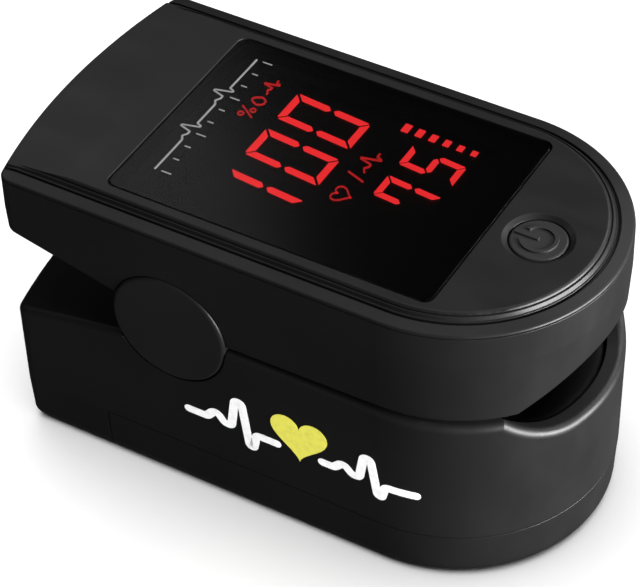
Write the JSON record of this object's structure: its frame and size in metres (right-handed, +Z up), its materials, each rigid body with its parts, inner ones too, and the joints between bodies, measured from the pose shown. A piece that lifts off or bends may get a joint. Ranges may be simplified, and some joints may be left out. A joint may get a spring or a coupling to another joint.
{
  "type": "fingertip pulse oximeter",
  "caption": "Clip-on fingertip pulse oximeter: two sprung jaws with a finger tunnel, lit red display behind a smoked window, power button and sliding battery cover",
  "frame": {"origin": "on the resting surface, under the middle of the body's plan box", "axes": "+X out of the finger mouth, +Y to the left hinge cap, +Z up through the display window"},
  "size_m": [0.057, 0.031, 0.032],
  "materials": {
    "housing_black": "fine satin moulded ABS",
    "cover_black": "fine satin moulded ABS",
    "cap_black": "fine satin moulded ABS",
    "smoked_window": "polished smoked acrylic",
    "display_body": "matt potted display face",
    "lit_segments": "glowing red light bars",
    "button_black": "fine satin moulded ABS",
    "switch_metal": "stamped tin-plated frame",
    "plunger_plastic": "moulded nylon",
    "circuit_board": "green solder mask on glass epoxy",
    "chip_black": "moulded epoxy package",
    "connector_white": "moulded nylon",
    "ribbon_amber": "polyimide film over copper",
    "contact_metal": "nickel-plated spring steel",
    "tray_plastic": "satin moulded ABS",
    "pad_rubber": "soft matt silicone",
    "optic_clear": "clear red-tinted epoxy",
    "emitter_epoxy": "clear epoxy over the dies",
    "sensor_silicon": "coated silicon",
    "screw_steel": "zinc-plated steel",
    "pin_steel": "ground steel",
    "spring_steel": "drawn spring wire",
    "cell_jacket": "printed film over a steel can, no wording"
  },
  "bodies": {
    "lower_jaw": {"lower_housing": "housing_black", "lower_tray": "tray_plastic", "lower_finger_pad": "pad_rubber", "sensor_board": "circuit_board", "photodiode": "sensor_silicon", "sensor_window": "optic_clear", "lower_screws": "screw_steel", "battery_1": "cell_jacket", "battery_2": "cell_jacket", "front_bridge_contact": "contact_metal", "rear_positive_contact": "contact_metal", "rear_negative_contact": "contact_metal", "left_hinge_pin": "pin_steel", "right_hinge_pin": "pin_steel", "left_hinge_cap": "cap_black", "right_hinge_cap": "cap_black", "left_torsion_spring": "spring_steel", "right_torsion_spring": "spring_steel", "ribbon_cable": "ribbon_amber"},
    "upper_jaw": {"upper_housing": "housing_black", "top_cover": "cover_black", "display_window": "smoked_window", "main_board": "circuit_board", "led_display": "display_body", "display_segments": "lit_segments", "tact_switch": "switch_metal", "processor_chip": "chip_black", "board_components": "chip_black", "ribbon_connector": "connector_white", "upper_tray": "tray_plastic", "upper_finger_pad": "pad_rubber", "emitter_window": "optic_clear", "emitter_leds": "emitter_epoxy", "emitter_board": "circuit_board", "emitter_pins": "contact_metal", "upper_screws": "screw_steel"},
    "button": {"power_button": "button_black"},
    "plunger": {"switch_plunger": "plunger_plastic"},
    "battery_door": {"battery_cover": "cover_black"}
  },
  "joints": [
    {"name": "jaw_hinge", "type": "hinge", "parent": "lower_jaw", "child": "upper_jaw", "pos_m": [-0.009, 0, 0.0201], "axis": [0, -1, 0], "range_deg": [0, 22], "stiffness_Nm_per_rad": 0.05, "springref_deg": -20.05, "deforming": ["left_torsion_spring", "right_torsion_spring", "ribbon_cable"]},
    {"name": "button_press", "type": "slide", "parent": "upper_jaw", "child": "button", "axis": [0, 0, -1], "range_m": [0, 0.0003], "stiffness_N_per_m": 3000, "springref_m": -0.0002},
    {"name": "switch_press", "type": "slide", "parent": "upper_jaw", "child": "plunger", "axis": [0, 0, -1], "range_m": [0, 0.0003]},
    {"name": "cover_slide", "type": "slide", "parent": "lower_jaw", "child": "battery_door", "axis": [1, 0, 0], "range_m": [0, 0.045]}
  ],
  "couplings": [
    {"joint": "switch_press", "follows": "button_press", "ratio": 1}
  ]
}
